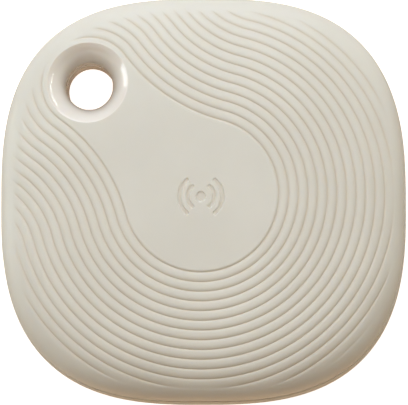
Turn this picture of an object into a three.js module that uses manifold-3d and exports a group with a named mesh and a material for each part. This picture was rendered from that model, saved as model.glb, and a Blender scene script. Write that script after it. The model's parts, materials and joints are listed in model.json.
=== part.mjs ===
// Pocket tracker tag: a rounded-square two-part case with an eyelet through one corner.
// Units are millimetres. The tag lies on its back: +Z is up through the crowned front face,
// the origin is the middle of the flat back. The eyelet is in the corner at -X, +Y.

import * as THREE from 'three';
import { mergeVertices } from 'three/addons/utils/BufferGeometryUtils.js';
import Module from 'manifold-3d';

const wasm = await Module();
wasm.setup();

// ---- case ----
const side = 39.1;               // width and height of the outline
const outlinePower = 2.8;        // superellipse exponent of the outline, 2 is a circle
const crownPower = 3.8;          // superellipse exponent of the crown's section
const seamHeight = 5.3;          // underside of the front cover's rim
const frontWall = 1.2;
const rearWall = 1.3;
const rearFloor = 1.1;
const backRound = 2.2;           // radius of the edge round the back
const wallDraft = 0.12;          // how far the rear wall leans in towards the seam
const seamStep = 0.1;            // how far the front rim stands in from the rear rim
const pressTravel = 0.2;         // how far the front cover goes down when it is pressed
const pressSpare = 0.08;         // gap left at the seam when it is pressed

// ---- eyelet ----
const eyeCorner = 6.24;          // hole centre, in from the outline's rounded corner
const boreRadius = 2.25;
const collarWall = 1.0;
const frontLipRadius = 3.9;
const frontStraight = 1.21;      // straight stretch of the bore over the seam, below the flare
const rearLipRadius = 3.6;
const rearFlareDepth = 2.5;
const collarLead = 0.4;          // front collar starts to spread this far below the throat
const collarSpread = 0.5;        // how much wider it is once it has passed the throat
const collarSpreadRise = 1;
const shoulderWall = 0.2;        // rear collar's shoulder, outside the sleeve

// ---- seals ----
const sealHeight = 0.9;
const sealWidth = 0.6;
const tongueDepth = 0.35;        // lip on the front cover that closes the seam from inside
const tongueWidth = 0.7;
const tongueRise = 0.7;          // how far the lip's root runs up the front wall
const tongueGap = 0.1;           // lip to the rear wall
const sleeveWall = 0.7;          // soft sleeve round the two collars
const sleeveRise = 0.5;          // how far it reaches past the seam
const slip = 0.05;               // gap beside a soft piece

// ---- sounder ----
const sounderRadius = 7.5;
const plateThickness = 0.15;
const ceramicRadius = 5.0;
const ceramicThickness = 0.2;
const gluePadWidth = 1.2;
const gluePadThickness = 0.4;
const seatWidth = 0.6;
const seatRise = 0.5;
const sounderRoom = 0.35;        // free height over the sounder, for it to ring in

// ---- battery: the common 20 by 3.2 coin cell ----
const cellRadius = 10;
const cellHeight = 3.2;
const canWall = 0.3;
const capStand = 0.25;           // cap stands over the can's rim
const gasketWall = 0.35;
const capRadius = 8.9;
const cellClearance = 0.2;
const sounderOverhang = 2;       // sounder reaches past the cell ring, for its two contacts
const postRadius = 0.9;
const postCircle = 8;

// ---- inner frame ----
const frameWall = 0.8;
const frameFloor = 0.6;
const frameGap = 0.2;            // frame edge to the front cover's lip
const frameDrop = 0.25;          // cell ring stops this far over the cell's underside
const frameWindow = 8;
const frameEyeClearance = 0.4;   // frame to the eyelet's shoulder
const leafSlotMargin = 0.5;      // slot in the cell ring, wider than the leaf
const leafSlotRise = 0.6;
const eyeGap = 1.4;              // cell ring to the eyelet's shoulder
const cellLift = 0.05;           // cell to the frame's floor above it

// ---- board and what is on it ----
const boardThickness = 0.8;
const boardInset = 1.2;          // board edge in from the frame's edge
const boardEyeClearance = 0.5;   // board to the eyelet's shoulder
const stakeRadius = 0.7;
const stakeHead = 1.1;
const stakeHeadHeight = 0.35;
const guideRadius = 0.8;
const guideClearance = 0.15;
const barbRadius = 1.2;
const barbHeight = 0.4;
const contactThickness = 0.2;
const capContactWidth = 4;
const leafWidth = 3;
const leafRise = 1;              // leaf ends this far over the cell's underside
const leafFoot = 1;
const plateReach = 6.7;          // contacts, out from the sounder's centre
const ceramicReach = 4.2;
const pinTip = 0.2;
const pinRadius = 0.35;
const pinTaper = 0.15;
const pinSleeveRadius = 0.55;
const pinSleeveHeight = 2;
const pinClearance = 0.3;
const smallPartPitch = 1.5;      // between neighbours in a row of small parts
const smallPartWidth = 1.6;
const smallPartDepth = 0.8;

// ---- switch ----
const switchSize = 5;
const switchBaseHeight = 0.75;
const switchPocketRadius = 2.1;
const switchPocketFloor = 0.2;
const domeRise = 0.3;
const domeThickness = 0.08;
const coverThickness = 0.15;
const flangeRadius = 1.8;
const flangeThickness = 0.15;
const stemRadius = 1.15;
const stemHeight = 0.26;
const stemClearance = 0.15;
const padRadius = 2.4;
const padThickness = 0.45;
const padGap = 0.04;             // plunger to pad
const bossRise = 0.25;           // boss from the inside of the face down to the pad

// ---- worked out from the sizes above ----
const half = side / 2;
const seamGap = pressTravel + pressSpare;
const rimHeight = seamHeight - seamGap;
const frontHalf = half - wallDraft - seamStep;
const upperInside = half - rearWall;
const tongueOuter = upperInside - tongueGap;
const tongueInner = tongueOuter - tongueWidth;
const ledgeHeight = seamHeight - tongueDepth - pressTravel - slip - sealHeight;
const lowerInside = upperInside - sealWidth - slip;
const diagonal = Math.SQRT1_2;
const cornerShare = Math.pow(2, -1 / outlinePower);
const eyeOffset = half * cornerShare - eyeCorner * diagonal;
const eye = [-eyeOffset, eyeOffset];
const collarRadius = boreRadius + collarWall;
const sleeveRadius = collarRadius + slip + sleeveWall;
const shoulderRadius = sleeveRadius + shoulderWall;
const frontThroat = seamHeight + frontStraight;
const plateBottom = rearFloor + gluePadThickness;
const cellBottom = plateBottom + plateThickness + ceramicThickness + sounderRoom;
const cellTop = cellBottom + cellHeight;
const canHeight = cellHeight - capStand;
const ringInner = cellRadius + cellClearance;
const ringOuter = ringInner + frameWall;
const frameBottom = cellTop + cellLift;
const boardBottom = frameBottom + frameFloor;
const boardTop = boardBottom + boardThickness;
const frameHalf = tongueInner - frameGap;
const boardHalf = frameHalf - boardInset;
const cellShift = (eyeOffset / diagonal - shoulderRadius - eyeGap - ringOuter) * diagonal;
const cell = [-cellShift, cellShift];
const sounderShift = ringOuter - sounderRadius + sounderOverhang;
const sounder = [cell[0] + sounderShift, cell[1] - sounderShift];
const dome = boardTop + switchPocketFloor;
const flangeBottom = dome + domeRise;
const plungerTop = flangeBottom + flangeThickness + stemHeight + pressTravel;
const padBottom = plungerTop + padGap;
const padTop = padBottom + padThickness;
const thickness = padTop + bossRise + frontWall;
const crown = thickness - seamHeight;
const outlineSteps = 72;
const roundSteps = 32;
const overcut = 1;               // how far a cutting body runs past what it cuts

// ---- shape helpers ----

// How far out a point lies on the outline's own scale: 0 in the middle, 1 on the outline.
function reach(x, y, halfWidth) {
  const a = Math.pow(Math.abs(x) / halfWidth, outlinePower);
  const b = Math.pow(Math.abs(y) / halfWidth, outlinePower);
  return Math.pow(a + b, 1 / outlinePower);
}

// Height of the crowned front face over a point.
function faceHeight(x, y) {
  const out = Math.min(reach(x, y, frontHalf), 1);
  return seamHeight + crown * Math.pow(1 - Math.pow(out, crownPower), 1 / crownPower);
}

// One ring of points, anticlockwise from above; radiusAt and heightAt take the angle.
function ring(steps, radiusAt, heightAt, centre = [0, 0]) {
  return Array.from({ length: steps }, (_, i) => {
    const angle = (2 * Math.PI * i) / steps;
    const r = radiusAt(angle);
    return [centre[0] + r * Math.cos(angle), centre[1] + r * Math.sin(angle), heightAt(angle)];
  });
}

function outlineRing(halfWidth, z) {
  const radiusAt = (angle) => 1 / reach(Math.cos(angle), Math.sin(angle), halfWidth);
  return ring(outlineSteps, radiusAt, () => z);
}

function roundRing(radius, z, centre = [0, 0], steps = roundSteps) {
  return ring(steps, () => radius, () => z, centre);
}

// A closed body through rings stacked from the bottom up, with a flat fan on each end.
function stack(rings) {
  const steps = rings[0].length;
  const middle = (points) => [0, 1, 2].map((k) => points.reduce((sum, p) => sum + p[k], 0) / steps);
  const points = [...rings.flat(), middle(rings[0]), middle(rings[rings.length - 1])];
  const bottom = rings.length * steps;
  const top = bottom + 1;
  const faces = [];
  for (let j = 0; j + 1 < rings.length; j++) {
    for (let i = 0; i < steps; i++) {
      const a = j * steps + i;
      const b = j * steps + ((i + 1) % steps);
      faces.push(a, b, b + steps, a, b + steps, a + steps);
    }
  }
  const last = (rings.length - 1) * steps;
  for (let i = 0; i < steps; i++) {
    const next = (i + 1) % steps;
    faces.push(bottom, next, i, top, last + i, last + next);
  }
  const geometry = new THREE.BufferGeometry();
  geometry.setAttribute('position', new THREE.Float32BufferAttribute(points.flat(), 3));
  geometry.setIndex(faces);
  return geometry;
}

function solid(geometry) {
  const bare = geometry.clone();
  bare.deleteAttribute('normal');
  bare.deleteAttribute('uv');
  const merged = mergeVertices(bare, 1e-5);
  const vertProperties = Float32Array.from(merged.attributes.position.array);
  const triVerts = Uint32Array.from(merged.index.array);
  return new wasm.Manifold(new wasm.Mesh({ numProp: 3, vertProperties, triVerts }));
}

function geometryOf(body) {
  const mesh = body.getMesh();
  const geometry = new THREE.BufferGeometry();
  geometry.setAttribute('position', new THREE.BufferAttribute(Float32Array.from(mesh.vertProperties), 3));
  geometry.setIndex(Array.from(mesh.triVerts));
  geometry.computeVertexNormals();
  return geometry;
}

const disc = (radius, z0, z1, centre, steps) =>
  solid(stack([roundRing(radius, z0, centre, steps), roundRing(radius, z1, centre, steps)]));

const tube = (outer, inner, z0, z1, centre, steps) =>
  disc(outer, z0, z1, centre, steps).subtract(disc(inner, z0 - overcut, z1 + overcut, centre, steps));

const slab = (halfWidth, z0, z1) => solid(stack([outlineRing(halfWidth, z0), outlineRing(halfWidth, z1)]));

function block(width, depth, height, x, y, z0) {
  return solid(new THREE.BoxGeometry(width, depth, height).translate(x, y, z0 + height / 2));
}

// A turned body: pairs of radius and height, from the bottom up.
const turned = (profile, centre, steps) =>
  solid(stack(profile.map(([radius, z]) => roundRing(radius, z, centre, steps))));

// ---- case ----

// Rings rise along a superellipse quarter: radius as sin^(2/p), height as cos^(2/p).
function crownedBody(halfWidth, rise, foot) {
  const steps = 10;
  const rings = [outlineRing(halfWidth, foot)];
  for (let j = steps; j > 0; j--) {
    const turn = (Math.PI / 2) * (j / steps);
    const out = Math.pow(Math.sin(turn), 2 / crownPower);
    const up = Math.pow(Math.max(Math.cos(turn), 0), 2 / crownPower);
    rings.push(outlineRing(halfWidth * out, seamHeight + rise * up));
  }
  const tip = outlineRing(halfWidth * 0.02, seamHeight + rise);
  const body = foot < seamHeight ? rings : rings.slice(1);
  return solid(stack([...body, tip]));
}

// The front of the eyelet: straight bore, then a quarter ellipse that opens out to a lip lying on the face.
function frontEyeCutter() {
  const lipHeight = (angle) =>
    faceHeight(eye[0] + frontLipRadius * Math.cos(angle), eye[1] + frontLipRadius * Math.sin(angle));
  const rings = [roundRing(boreRadius, rimHeight - overcut, eye)];
  const steps = 5;
  for (let j = 0; j <= steps; j++) {
    const turn = (Math.PI / 2) * (j / steps);
    const radius = frontLipRadius - (frontLipRadius - boreRadius) * Math.cos(turn);
    const heightAt = (angle) => frontThroat + (lipHeight(angle) - frontThroat) * Math.sin(turn);
    rings.push(ring(roundSteps, () => radius, heightAt, eye));
  }
  rings.push(roundRing(frontLipRadius, thickness + overcut, eye));
  return solid(stack(rings));
}

function rearEyeCutter() {
  const rings = [roundRing(rearLipRadius, -overcut, eye)];
  const steps = 5;
  for (let j = steps; j >= 0; j--) {
    const turn = (Math.PI / 2) * (j / steps);
    const radius = rearLipRadius - (rearLipRadius - boreRadius) * Math.cos(turn);
    rings.push(roundRing(radius, rearFlareDepth * (1 - Math.sin(turn)), eye));
  }
  rings.push(roundRing(boreRadius, rimHeight + overcut, eye));
  return solid(stack(rings));
}

// A place in from the board's edge, in the direction of an angle in degrees.
function insideBoard([degrees, inset]) {
  const angle = THREE.MathUtils.degToRad(degrees);
  const x = Math.cos(angle);
  const y = Math.sin(angle);
  const r = 1 / reach(x, y, boardHalf) - inset;
  return [r * x, r * y];
}

// Three guide posts hang from the face, pass the board and the frame, and end in a barb below it.
const guides = [[-17.7, 2.75], [170.4, 3.05], [-102.7, 2.73]].map(insideBoard);

function guidePost([x, y]) {
  const barbTop = frameBottom - slip;
  return turned([
    [guideRadius, barbTop - barbHeight],
    [barbRadius, barbTop - slip],
    [barbRadius, barbTop],
    [guideRadius, barbTop],
    [guideRadius, thickness - slip],
  ], [x, y], 16);
}

// The lip goes down inside the rear rim, so that the seam stays closed over the whole travel.
function tongue() {
  const rings = [
    outlineRing(tongueOuter, seamHeight - tongueDepth),
    outlineRing(tongueOuter, seamHeight),
    outlineRing(frontHalf - frontWall / 2, seamHeight),
    outlineRing(frontHalf - frontWall / 2, seamHeight + tongueRise),
  ];
  const inside = slab(tongueInner, seamHeight - tongueDepth - overcut, seamHeight + tongueRise + overcut);
  return solid(stack(rings)).subtract(inside).subtract(disc(sleeveRadius + slip, 0, thickness, eye));
}

function frontCover() {
  const outer = crownedBody(frontHalf, crown, seamHeight);
  const inner = crownedBody(frontHalf - frontWall, crown - frontWall, seamHeight - overcut);
  const collar = turned([
    [collarRadius, seamHeight],
    [collarRadius, frontThroat - collarLead],
    [collarRadius + collarSpread, frontThroat + collarSpreadRise],
    [frontLipRadius + collarWall, thickness - frontWall],
    [frontLipRadius + collarWall, thickness],
  ], eye);
  const boss = disc(padRadius + 0.2, padTop, thickness - frontWall / 2, [0, 0]);
  let cover = outer.subtract(inner).add(tongue()).add(outer.intersect(collar)).add(boss);
  for (const place of guides) {
    const above = slab(frontHalf - frontWall / 2, rearFloor, faceHeight(...place) - frontWall / 2);
    cover = cover.add(guidePost(place).intersect(above));
  }
  return cover.subtract(frontEyeCutter());
}

function rearCover() {
  const rings = [];
  const steps = 4;
  for (let j = 0; j <= steps; j++) {
    const turn = (Math.PI / 2) * (j / steps);
    rings.push(outlineRing(half - backRound * (1 - Math.sin(turn)), backRound * (1 - Math.cos(turn))));
  }
  for (let j = 1; j <= 2; j++) {
    rings.push(outlineRing(half - wallDraft * (j / 2) ** 2, backRound + (rimHeight - backRound) * (j / 2)));
  }
  const outer = solid(stack(rings));
  const well = slab(lowerInside, rearFloor, rimHeight + overcut);
  const shelf = slab(upperInside, ledgeHeight, rimHeight + overcut);
  const collar = turned([
    [rearLipRadius + collarWall, 0],
    [rearLipRadius + collarWall, rearFloor],
    [shoulderRadius, rearFlareDepth],
    [shoulderRadius, ledgeHeight],
    [collarRadius, ledgeHeight],
    [collarRadius, rimHeight],
  ], eye);
  const seat = tube(sounderRadius + slip + seatWidth, sounderRadius + slip, rearFloor - slip,
    rearFloor + seatRise, sounder);
  let cover = outer.subtract(well).subtract(shelf).add(outer.intersect(collar)).add(seat);
  for (const angle of [60, 135, 210]) {
    const turn = THREE.MathUtils.degToRad(angle);
    const place = [cell[0] + postCircle * Math.cos(turn), cell[1] + postCircle * Math.sin(turn)];
    cover = cover.add(disc(postRadius, rearFloor - slip, cellBottom, place, 16));
  }
  return cover.subtract(rearEyeCutter());
}

function perimeterSeal() {
  const outer = upperInside - slip;
  const top = ledgeHeight + sealHeight;
  const inside = slab(outer - sealWidth, ledgeHeight - overcut, top + overcut);
  const loop = slab(outer, ledgeHeight, top).subtract(inside);
  return loop.subtract(disc(sleeveRadius + slip, ledgeHeight - overcut, top + overcut, eye));
}

const eyeSleeve = () => tube(sleeveRadius, collarRadius + slip, ledgeHeight, seamHeight + sleeveRise, eye);

// ---- inner frame and board ----

const stakes = [[24, 3.17], [-159.9, 3.32], [74.5, 3]].map(insideBoard);
const fromSounder = (out) => [sounder[0] + out * diagonal, sounder[1] - out * diagonal];
const plateContact = fromSounder(plateReach);
const ceramicContact = fromSounder(ceramicReach);

function innerFrame() {
  const wallBottom = cellBottom + frameDrop;
  let frame = slab(frameHalf, frameBottom, boardBottom);
  frame = frame.add(tube(ringOuter, ringInner, wallBottom, frameBottom + slip, cell, 48));
  frame = frame.subtract(disc(frameWindow, frameBottom - overcut, boardBottom + overcut, cell, 48));
  frame = frame.subtract(disc(shoulderRadius + frameEyeClearance, rearFloor, boardTop, eye));
  for (const place of [plateContact, ceramicContact]) {
    frame = frame.subtract(disc(pinSleeveRadius + pinClearance, wallBottom, boardTop, place, 16));
  }
  for (const place of guides) {
    frame = frame.subtract(disc(guideRadius + guideClearance, wallBottom, boardTop, place, 16));
  }
  frame = frame.subtract(block(frameWall + overcut, leafWidth + leafSlotMargin, cellHeight + 2 * overcut,
    cell[0] + ringInner + frameWall / 2, cell[1], wallBottom + leafSlotRise));
  for (const place of stakes) {
    frame = frame.add(disc(stakeRadius, boardBottom - slip, boardTop, place, 16));
    frame = frame.add(disc(stakeHead, boardTop, boardTop + stakeHeadHeight, place, 16));
  }
  return frame;
}

function mainBoard() {
  const hole = disc(shoulderRadius + boardEyeClearance, boardBottom - overcut, boardTop + overcut, eye);
  let board = slab(boardHalf, boardBottom, boardTop).subtract(hole);
  for (const place of stakes) {
    board = board.subtract(disc(stakeRadius + slip, boardBottom - overcut, boardTop + overcut, place, 16));
  }
  for (const place of guides) {
    board = board.subtract(
      disc(guideRadius + 2 * guideClearance, boardBottom - overcut, boardTop + overcut, place, 16));
  }
  return board;
}

// A strip of sheet metal bent along a path in the XZ plane and running in Y.
function bentStrip(path, width) {
  const spine = path.map(([x, z]) => new THREE.Vector2(x, z));
  const sideways = spine.map((point, i) => {
    const before = spine[Math.max(i - 1, 0)];
    const after = spine[Math.min(i + 1, spine.length - 1)];
    const along = after.clone().sub(before).normalize();
    return new THREE.Vector2(-along.y, along.x).multiplyScalar(contactThickness / 2);
  });
  const upper = spine.map((point, i) => point.clone().add(sideways[i]));
  const lower = spine.map((point, i) => point.clone().sub(sideways[i])).reverse();
  const shape = new THREE.Shape([...upper, ...lower]);
  const strip = new THREE.ExtrudeGeometry(shape, { depth: width, bevelEnabled: false });
  return strip.rotateX(Math.PI / 2).translate(0, width / 2, 0);
}

// The tongue that presses on the cell's cap, soldered flat under the board.
function capContact() {
  const under = boardBottom - contactThickness / 2;
  const touch = cellTop + slip + contactThickness / 2;
  const lift = (under - touch) / 2;
  const path = [[-6, under], [-2.5, under], [3, touch], [5, touch + lift]];
  return solid(bentStrip(path, capContactWidth).translate(cell[0], cell[1], 0));
}

// The leaf that presses on the can's side, through a slot in the cell ring.
function sideContact() {
  const bottom = cellBottom + leafRise;
  const near = cell[0] + cellRadius + slip;
  const leaf = block(contactThickness, leafWidth, boardBottom - bottom,
    near + contactThickness / 2, cell[1], bottom);
  const foot = block(leafFoot, leafWidth, contactThickness,
    near + leafFoot / 2, cell[1], boardBottom - contactThickness);
  return leaf.add(foot);
}

function sounderContact([x, y], tip) {
  return turned([
    [pinTip, tip],
    [pinRadius, tip + pinTaper],
    [pinRadius, boardBottom - pinSleeveHeight],
    [pinSleeveRadius, boardBottom - pinSleeveHeight],
    [pinSleeveRadius, boardBottom],
  ], [x, y], 12);
}

// ---- battery ----

function cellCan() {
  const profile = [[cellRadius - canWall, 0], [cellRadius, canWall], [cellRadius, canHeight]];
  const outer = turned(profile, [0, 0], 48);
  return outer.subtract(disc(cellRadius - canWall, canWall, canHeight + overcut, [0, 0], 48));
}

const cellGasket = () =>
  tube(cellRadius - canWall, cellRadius - canWall - gasketWall, canWall, canHeight, [0, 0], 48);

const cellCap = () => turned([
  [cellRadius - canWall - gasketWall, canWall],
  [cellRadius - canWall - gasketWall, canHeight],
  [capRadius, canHeight],
  [capRadius, cellHeight],
], [0, 0], 48);

// ---- switch, from the board's top up ----

function switchBase() {
  const body = block(switchSize, switchSize, switchBaseHeight, 0, 0, 0);
  return body.subtract(disc(switchPocketRadius, switchPocketFloor, switchBaseHeight + overcut, [0, 0]));
}

// A shallow snap dome: height falls off with the square of the radius.
function switchDome() {
  const radius = switchPocketRadius - slip;
  const rise = domeRise - domeThickness - slip;
  const skin = (lift) => [1, 0.75, 0.5, 0.25].map((share) =>
    roundRing(radius * share, switchPocketFloor + lift + rise * (1 - share * share), [0, 0], 24));
  const outer = solid(stack([roundRing(radius, switchPocketFloor, [0, 0], 24), ...skin(domeThickness)]));
  const inner = solid(stack([roundRing(radius * 0.97, -overcut, [0, 0], 24),
    ...skin(0).map((points) => points.map(([x, y, z]) => [x * 0.97, y * 0.97, z]))]));
  return outer.subtract(inner);
}

function switchCover() {
  const plate = block(switchSize, switchSize, coverThickness, 0, 0, switchBaseHeight);
  return plate.subtract(disc(stemRadius + stemClearance, 0, switchBaseHeight + overcut, [0, 0]));
}

function switchPlunger() {
  const flange = flangeBottom - boardTop;
  return turned([
    [flangeRadius, flange],
    [flangeRadius, flange + flangeThickness],
    [stemRadius, flange + flangeThickness],
    [stemRadius, plungerTop - boardTop],
  ], [0, 0]);
}

const pressPad = () => disc(padRadius, padBottom, padTop, [0, 0]);

// ---- finishes ----
const shell = { color: 0xd9d4c6, roughness: 0.55, metalness: 0 };
const softSeal = { color: 0xb9b4a8, roughness: 0.8, metalness: 0 };
const darkPlastic = { color: 0x2b2c2e, roughness: 0.6, metalness: 0 };
const boardGreen = { color: 0x1f5a3c, roughness: 0.45, metalness: 0 };
const chipBlack = { color: 0x17181a, roughness: 0.4, metalness: 0 };
const ceramicWhite = { color: 0xe6e2d8, roughness: 0.5, metalness: 0 };
const ceramicBrown = { color: 0x9a7a58, roughness: 0.55, metalness: 0 };
const steel = { color: 0xc8c9cb, roughness: 0.3, metalness: 1 };
const gold = { color: 0xd8b25a, roughness: 0.3, metalness: 1 };
const brass = { color: 0xc9a24a, roughness: 0.35, metalness: 1 };
const gasketGrey = { color: 0x8c8d90, roughness: 0.7, metalness: 0 };

function piece(name, body, finish) {
  const geometry = body.isBufferGeometry ? body : geometryOf(body);
  const mesh = new THREE.Mesh(geometry, new THREE.MeshStandardMaterial(finish));
  mesh.name = name;
  return mesh;
}

// ---- assembly ----
const rearHalf = new THREE.Group();
rearHalf.add(piece('rear_cover', rearCover(), shell));
rearHalf.add(piece('perimeter_seal', perimeterSeal(), softSeal));
rearHalf.add(piece('eyelet_sleeve', eyeSleeve(), softSeal));
rearHalf.add(piece('sounder_glue_ring',
  tube(sounderRadius, sounderRadius - gluePadWidth, rearFloor, plateBottom, sounder, 40), softSeal));
rearHalf.add(piece('sounder_plate',
  disc(sounderRadius, plateBottom, plateBottom + plateThickness, sounder, 40), brass));
rearHalf.add(piece('sounder_ceramic', disc(ceramicRadius, plateBottom + plateThickness,
  plateBottom + plateThickness + ceramicThickness, sounder, 40), ceramicWhite));

const frontHalfGroup = new THREE.Group();
frontHalfGroup.add(piece('front_cover', frontCover(), shell));
frontHalfGroup.add(piece('press_pad', pressPad(), softSeal));

const battery = new THREE.Group();
battery.position.set(cell[0], cell[1], cellBottom);
battery.add(piece('battery_can', cellCan(), steel));
battery.add(piece('battery_gasket', cellGasket(), gasketGrey));
battery.add(piece('battery_cap', cellCap(), steel));

const electronics = new THREE.Group();
electronics.add(piece('inner_frame', innerFrame(), darkPlastic));
electronics.add(piece('main_board', mainBoard(), boardGreen));
electronics.add(piece('cap_contact', capContact(), gold));
electronics.add(piece('side_contact', sideContact(), gold));
const plateTop = plateBottom + plateThickness;
electronics.add(piece('sounder_contact_plate', sounderContact(plateContact, plateTop), gold));
electronics.add(piece('sounder_contact_ceramic',
  sounderContact(ceramicContact, plateTop + ceramicThickness), gold));

const onBoard = new THREE.Group();
onBoard.position.z = boardTop;
onBoard.add(piece('switch_base', switchBase(), darkPlastic));
onBoard.add(piece('switch_dome', switchDome(), steel));
onBoard.add(piece('switch_cover', switchCover(), steel));
onBoard.add(piece('switch_plunger', switchPlunger(), darkPlastic));

// Name, width, depth, height, x, y and finish of each plain soldered part.
const soldered = [
  ['radio_chip', 6, 6, 0.85, -7.6, -6.6, chipBlack],
  ['fast_crystal', 2.5, 2, 0.55, -7.6, -11.4, steel],
  ['slow_crystal', 3.2, 1.5, 0.8, -12, -0.9, steel],
  ['chip_antenna', 7, 2, 0.8, 5.4, -12, ceramicWhite],
  ['sounder_driver', 3, 3, 0.75, 8.6, -4.6, chipBlack],
  ['boost_inductor', 3, 3, 1.1, 8.4, 0.6, chipBlack],
];
for (const [name, width, depth, height, x, y, finish] of soldered) {
  const part = piece(name, new THREE.BoxGeometry(width, depth, height), finish);
  part.position.set(x, y, height / 2);
  onBoard.add(part);
}

// Small capacitors and resistors stand in two short rows beside the chips they serve.
function row(name, count, height, x, y, finish) {
  for (let i = 0; i < count; i++) {
    const body = new THREE.BoxGeometry(smallPartWidth, smallPartDepth, height);
    const part = piece(`${name}_${i + 1}`, body, finish);
    part.position.set(x, y - i * smallPartPitch, height / 2);
    onBoard.add(part);
  }
}
row('capacitor', 4, 0.8, -2.8, -5, ceramicBrown);
row('resistor', 3, 0.45, 3.6, -5, chipBlack);
electronics.add(onBoard);

const tag = new THREE.Group();
tag.add(rearHalf, battery, electronics, frontHalfGroup);

export default tag;
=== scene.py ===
# Looks for a pocket tracker tag: a cream moulded case with a grooved face and a polished eyelet,
# and the coin cell, board and sounder inside it. Shapes are worked out in millimetres, in the
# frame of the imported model, and written to the meshes in metres.
import json
import math
import bmesh
import bpy
import numpy as np
from mathutils import Matrix, Vector


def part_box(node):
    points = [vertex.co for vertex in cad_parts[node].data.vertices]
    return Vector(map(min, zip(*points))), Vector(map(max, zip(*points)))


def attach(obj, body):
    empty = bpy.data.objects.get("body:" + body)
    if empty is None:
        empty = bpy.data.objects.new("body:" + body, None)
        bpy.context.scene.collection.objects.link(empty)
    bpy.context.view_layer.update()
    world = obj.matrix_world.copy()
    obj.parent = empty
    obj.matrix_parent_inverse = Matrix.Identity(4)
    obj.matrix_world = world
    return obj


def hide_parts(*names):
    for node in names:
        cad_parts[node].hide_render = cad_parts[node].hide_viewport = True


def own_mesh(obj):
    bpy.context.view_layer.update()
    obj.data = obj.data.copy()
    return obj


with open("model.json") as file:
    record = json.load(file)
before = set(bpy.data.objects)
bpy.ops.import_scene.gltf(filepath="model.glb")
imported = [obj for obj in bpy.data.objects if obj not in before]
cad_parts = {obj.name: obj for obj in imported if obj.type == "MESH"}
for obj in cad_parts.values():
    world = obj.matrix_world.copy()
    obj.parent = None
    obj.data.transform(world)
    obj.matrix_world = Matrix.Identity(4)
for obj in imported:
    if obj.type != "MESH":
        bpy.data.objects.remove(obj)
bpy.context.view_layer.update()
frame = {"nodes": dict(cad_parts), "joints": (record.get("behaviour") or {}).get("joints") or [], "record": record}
print("frame loaded:", len(frame["nodes"]), "nodes")

mm = 0.001


def boxMm(node):
    low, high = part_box(node)
    return np.array(low) / mm, np.array(high) / mm


def travelMm(name):
    return [j for j in frame["joints"] if j["name"] == name][0]["range_m"][1] / mm


rearHigh = boxMm("rear_cover")[1]
frontHigh = boxMm("front_cover")[1]
sleeveLow, sleeveHigh = boxMm("eyelet_sleeve")
sealLow = boxMm("perimeter_seal")[0]

case = {
    "half": rearHigh[0],
    "top": frontHigh[2],
    "rim": rearHigh[2],            # top of the rear cover's rim
    "pressSpare": 0.08,
    "outlinePower": 2.8,           # superellipse exponent of the outline
    "crownPower": 3.8,             # superellipse exponent of the crown's section
    "wallDraft": 0.12,
    "seamStep": 0.1,               # front rim stands in from the rear rim
    "frontWall": 1.2,
    "rearWall": 1.3,
    "rearFloor": 1.1,
    "backRound": 2.2,
    "ledge": sealLow[2],           # shelf that the seal lies on
    "sealWidth": 0.65,
    "edge": 0.07,                  # broken edges of the two rims
    "floorRound": 0.15,            # corner between the rear wall and its floor
    "floorSpare": 0.03,
}
case["seam"] = case["rim"] + travelMm("front_press") + case["pressSpare"]
case["frontHalf"] = case["half"] - case["wallDraft"] - case["seamStep"]
case["crown"] = case["top"] - case["seam"]
case["inHalf"] = case["frontHalf"] - case["frontWall"]
case["inRise"] = case["crown"] - case["frontWall"]

eyelet = {
    "centre": (sleeveLow[:2] + sleeveHigh[:2]) / 2,
    "bore": 2.25,
    "collar": 3.25,
    "shoulder": 4.2,
    "frontLip": 3.9,
    "frontStraight": 1.21,
    "rearLip": 3.6,
    "rearFlare": 2.5,
    "collarWall": 1.0,
    "collarEase": 6,                   # the collar stays straight until it is past the sleeve
    "sleeveRoom": (sleeveHigh[0] - sleeveLow[0]) / 2 + 0.05,    # kept clear for the soft sleeve
    "shoulderFoot": (0.1, 0.5),        # how far the shoulder's foot spreads, and its height
    "rootReach": 0.45,                 # collar's root in the crown, out from the front lip
    "rootShare": 0.985,                # and the most that it takes of the inside outline
    "lipTurn": math.radians(70),       # the flare starts and ends short of a full quarter turn,
    "throatTurn": math.radians(11),    # which leaves a crisp lip and a crisp throat
}
eyelet["along"] = float(np.hypot(*eyelet["centre"]))
eyelet["throat"] = case["seam"] + eyelet["frontStraight"]

grooves = {
    "firstRadius": 7.37,                 # first groove, round the smooth disc
    "pitch": 0.912,
    "waistAngle": math.radians(60.2),    # where the line leaves the disc's circle
    "waistRadius": 16.79,
    "cornerRadius": 4.43,                # the line's turn round the eyelet, about its own centre
    "border": 0.9405,                    # share of the outline where the grooves run out
    "borderLean": 0.0165,                # and how much nearer to the middle on the eyelet's side
    "fade": 0.03,
    "depth": 0.102,
    "soften": 0.07,
    "sharpness": 3.0,                    # how narrow the deep part of a groove is
    "sharpShare": 0.55,
    "rows": (0.0, 0.06, 0.14, 0.27, 0.5, 0.73, 0.86, 0.94),    # mesh rows within one pitch
}

mark = {                                 # plain signal mark: a dot between two pairs of arcs
    "centre": (0.0, -0.18),
    "dot": 0.46,
    "arcs": (1.25, 2.05),
    "stroke": 0.17,
    "halfAngle": math.radians(50),
    "depth": 0.07,
    "edge": 0.1,
    "room": 2.6,                         # radius of the finer mesh that it lies in
}

detail = {
    "discColumns": 200,
    "waistColumns": 44,
    "cornerColumns": 72,
    "rimRows": 17,
    "flareRows": 18,
    "rearColumns": 300,
    "markRows": 29,
    "landRows": 20,
    "collarRows": 11,
    "insideRows": 25,
    "insideEase": 2.2,                   # how strongly the inside rows crowd to the rim
    "halvings": 44,                      # steps of the search along a ray
}


# Share of the outline that a point lies at: (|x/h|^n + |y/h|^n)^(1/n).
def reach(x, y, halfWidth):
    n = case["outlinePower"]
    return ((np.abs(x) / halfWidth) ** n + (np.abs(y) / halfWidth) ** n) ** (1 / n)


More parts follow.
